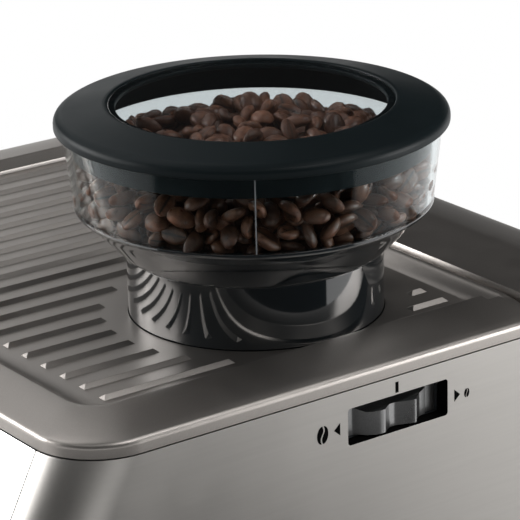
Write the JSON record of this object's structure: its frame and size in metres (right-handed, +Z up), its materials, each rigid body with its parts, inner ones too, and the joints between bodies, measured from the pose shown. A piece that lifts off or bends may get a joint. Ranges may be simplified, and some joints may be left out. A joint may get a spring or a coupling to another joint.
{
  "type": "espresso machine with grinder",
  "caption": "Countertop espresso machine with a bean hopper and burr grinder, ribbed cup tray, sloping control front, filter holder, steam wand, drip tray and rear water tank.",
  "frame": {"origin": "on the counter, under the middle of the whole machine's footprint with its filter holder's handle", "axes": "+Z up, -Y towards the user's side, +X towards the side with the grinder and its setting slider"},
  "size_m": [0.3066, 0.4216, 0.4002],
  "materials": {
    "cover_metal": "satin warm grey metallic coat",
    "panel_steel": "finely brushed, satin",
    "fascia_steel": "polished",
    "inner_steel": "plain rolled sheet",
    "black_plastic": "fine texture",
    "gloss_black": "high gloss",
    "lid_black": "satin",
    "smoked_clear": "clear with a smoky tint",
    "window_clear": "clear",
    "tank_clear": "translucent grey",
    "slider_metal": "satin dark metallic",
    "rubber_black": "matte",
    "cast_metal": "cast, bead blasted",
    "chrome_plate": "polished",
    "burr_steel": "ground",
    "brass_parts": "turned",
    "board_green": "solder mask",
    "hose_silicone": "translucent white silicone",
    "float_red": "gloss",
    "dial_white": "printed dial"
  },
  "bodies": {
    "machine": {"top_cover": "cover_metal", "front_fascia": "fascia_steel", "side_panel_right": "panel_steel", "side_panel_left": "panel_steel", "rear_panel": "panel_steel", "splash_wall": "panel_steel", "head_underside": "black_plastic", "base_housing": "black_plastic", "rubber_feet": "rubber_black", "inner_frame": "inner_steel", "mains_gland": "rubber_black", "casing_screws": "chrome_plate", "slider_rail": "black_plastic", "grinder_housing": "black_plastic", "grinder_motor": "inner_steel", "grounds_chute": "black_plastic", "grinder_cradle": "black_plastic", "group_head": "cast_metal", "group_gasket": "rubber_black", "shower_screen": "chrome_plate", "thermoblock": "cast_metal", "pump": "brass_parts", "pump_mounts": "rubber_black", "water_hoses": "hose_silicone", "control_board": "board_green", "wand_socket": "black_plastic", "gauge_case": "dial_white", "gauge_glass": "window_clear"},
    "throat_ring": {"throat_ring": "black_plastic"},
    "hopper": {"hopper_bowl": "smoked_clear", "hopper_neck": "gloss_black"},
    "hopper_lid": {"hopper_lid_ring": "lid_black", "hopper_lid_window": "window_clear"},
    "grind_slider": {"grind_slider": "slider_metal"},
    "grind_adjuster": {"adjust_ring": "black_plastic", "upper_burr": "burr_steel"},
    "burr_drive": {"drive_gear": "brass_parts", "burr_shaft": "burr_steel", "lower_burr": "burr_steel", "impeller": "black_plastic"},
    "pinion": {"motor_pinion": "brass_parts"},
    "portafilter": {"portafilter_body": "chrome_plate", "portafilter_handle": "black_plastic", "portafilter_spouts": "chrome_plate", "filter_basket": "inner_steel"},
    "steam_wand": {"steam_wand": "chrome_plate", "wand_grip": "rubber_black", "steam_tip": "chrome_plate"},
    "steam_knob": {"steam_knob": "gloss_black"},
    "amount_dial": {"amount_dial": "gloss_black"},
    "power_button": {"power_button": "chrome_plate"},
    "one_cup_button": {"one_cup_button": "chrome_plate"},
    "two_cup_button": {"two_cup_button": "chrome_plate"},
    "gauge_needle": {"gauge_needle": "float_red"},
    "cradle_trigger": {"cradle_trigger": "rubber_black"},
    "water_tank": {"water_tank": "tank_clear"},
    "tank_lid": {"tank_lid": "cover_metal"},
    "drip_tray": {"drip_tray": "panel_steel"},
    "drip_grid": {"drip_grid": "panel_steel"},
    "drip_float": {"drip_float": "float_red"}
  },
  "joints": [
    {"name": "hopper_twist", "type": "hinge", "parent": "machine", "child": "throat_ring", "pos_m": [0.0737, 0.0769, 0.32], "axis": [0, 0, 1], "range_deg": [0, 45]},
    {"name": "hopper_lift", "type": "slide", "parent": "throat_ring", "child": "hopper", "axis": [0, 0, 1], "range_m": [0, 0.12]},
    {"name": "lid_lift", "type": "slide", "parent": "hopper", "child": "hopper_lid", "axis": [0, 0, 1], "range_m": [0, 0.06]},
    {"name": "grind_setting", "type": "slide", "parent": "machine", "child": "grind_slider", "axis": [0, 1, 0], "range_m": [-0.006, 0.006]},
    {"name": "adjuster_turn", "type": "hinge", "parent": "machine", "child": "grind_adjuster", "pos_m": [0.0737, 0.0769, 0.3024], "axis": [0, 0, 1], "range_deg": [-5.49, 5.49]},
    {"name": "burr_spin", "type": "hinge", "parent": "machine", "child": "burr_drive", "pos_m": [0.0737, 0.0769, 0.2544], "axis": [0, 0, 1], "continuous": true},
    {"name": "pinion_spin", "type": "hinge", "parent": "machine", "child": "pinion", "pos_m": [0.0737, 0.1069, 0.2544], "axis": [0, 0, 1], "continuous": true},
    {"name": "portafilter_twist", "type": "hinge", "parent": "machine", "child": "portafilter", "pos_m": [-0.03802, -0.0351, 0.2065], "axis": [0, 0, 1], "range_deg": [-45, 0]},
    {"name": "wand_swivel", "type": "hinge", "parent": "machine", "child": "steam_wand", "pos_m": [-0.126, -0.0411, 0.2255], "axis": [0, 0, 1], "range_deg": [-60, 30]},
    {"name": "steam_knob_turn", "type": "hinge", "parent": "machine", "child": "steam_knob", "pos_m": [-0.12095, -0.07359, 0.27705], "axis": [0, -0.891, 0.454], "range_deg": [0, 180]},
    {"name": "amount_dial_turn", "type": "hinge", "parent": "machine", "child": "amount_dial", "pos_m": [0.09198, -0.07359, 0.27705], "axis": [0, -0.891, 0.454], "range_deg": [-135, 135]},
    {"name": "power_press", "type": "slide", "parent": "machine", "child": "power_button", "axis": [0, 0.891, -0.454], "range_m": [0, 0.002], "stiffness_N_per_m": 300},
    {"name": "one_cup_press", "type": "slide", "parent": "machine", "child": "one_cup_button", "axis": [0, 0.891, -0.454], "range_m": [0, 0.002], "stiffness_N_per_m": 300},
    {"name": "two_cup_press", "type": "slide", "parent": "machine", "child": "two_cup_button", "axis": [0, 0.891, -0.454], "range_m": [0, 0.002], "stiffness_N_per_m": 300},
    {"name": "needle_turn", "type": "hinge", "parent": "machine", "child": "gauge_needle", "pos_m": [-0.03802, -0.07359, 0.27705], "axis": [0, 0.891, -0.454], "range_deg": [0, 250]},
    {"name": "trigger_press", "type": "slide", "parent": "machine", "child": "cradle_trigger", "axis": [0, 1, 0], "range_m": [0, 0.004], "stiffness_N_per_m": 300},
    {"name": "tank_lift", "type": "slide", "parent": "machine", "child": "water_tank", "axis": [0, 0, 1], "range_m": [0, 0.18]},
    {"name": "tank_lid_lift", "type": "slide", "parent": "water_tank", "child": "tank_lid", "axis": [0, 0, 1], "range_m": [0, 0.06]},
    {"name": "tray_pull", "type": "slide", "parent": "machine", "child": "drip_tray", "axis": [0, -1, 0], "range_m": [0, 0.12]},
    {"name": "grid_lift", "type": "slide", "parent": "drip_tray", "child": "drip_grid", "axis": [0, 0, 1], "range_m": [0, 0.025]},
    {"name": "float_rise", "type": "slide", "parent": "drip_tray", "child": "drip_float", "axis": [0, 0, 1], "range_m": [0, 0.006]}
  ],
  "couplings": [
    {"joint": "adjuster_turn", "follows": "grind_setting", "rad_per_m": 15.385},
    {"joint": "pinion_spin", "follows": "burr_spin", "ratio": -4}
  ]
}
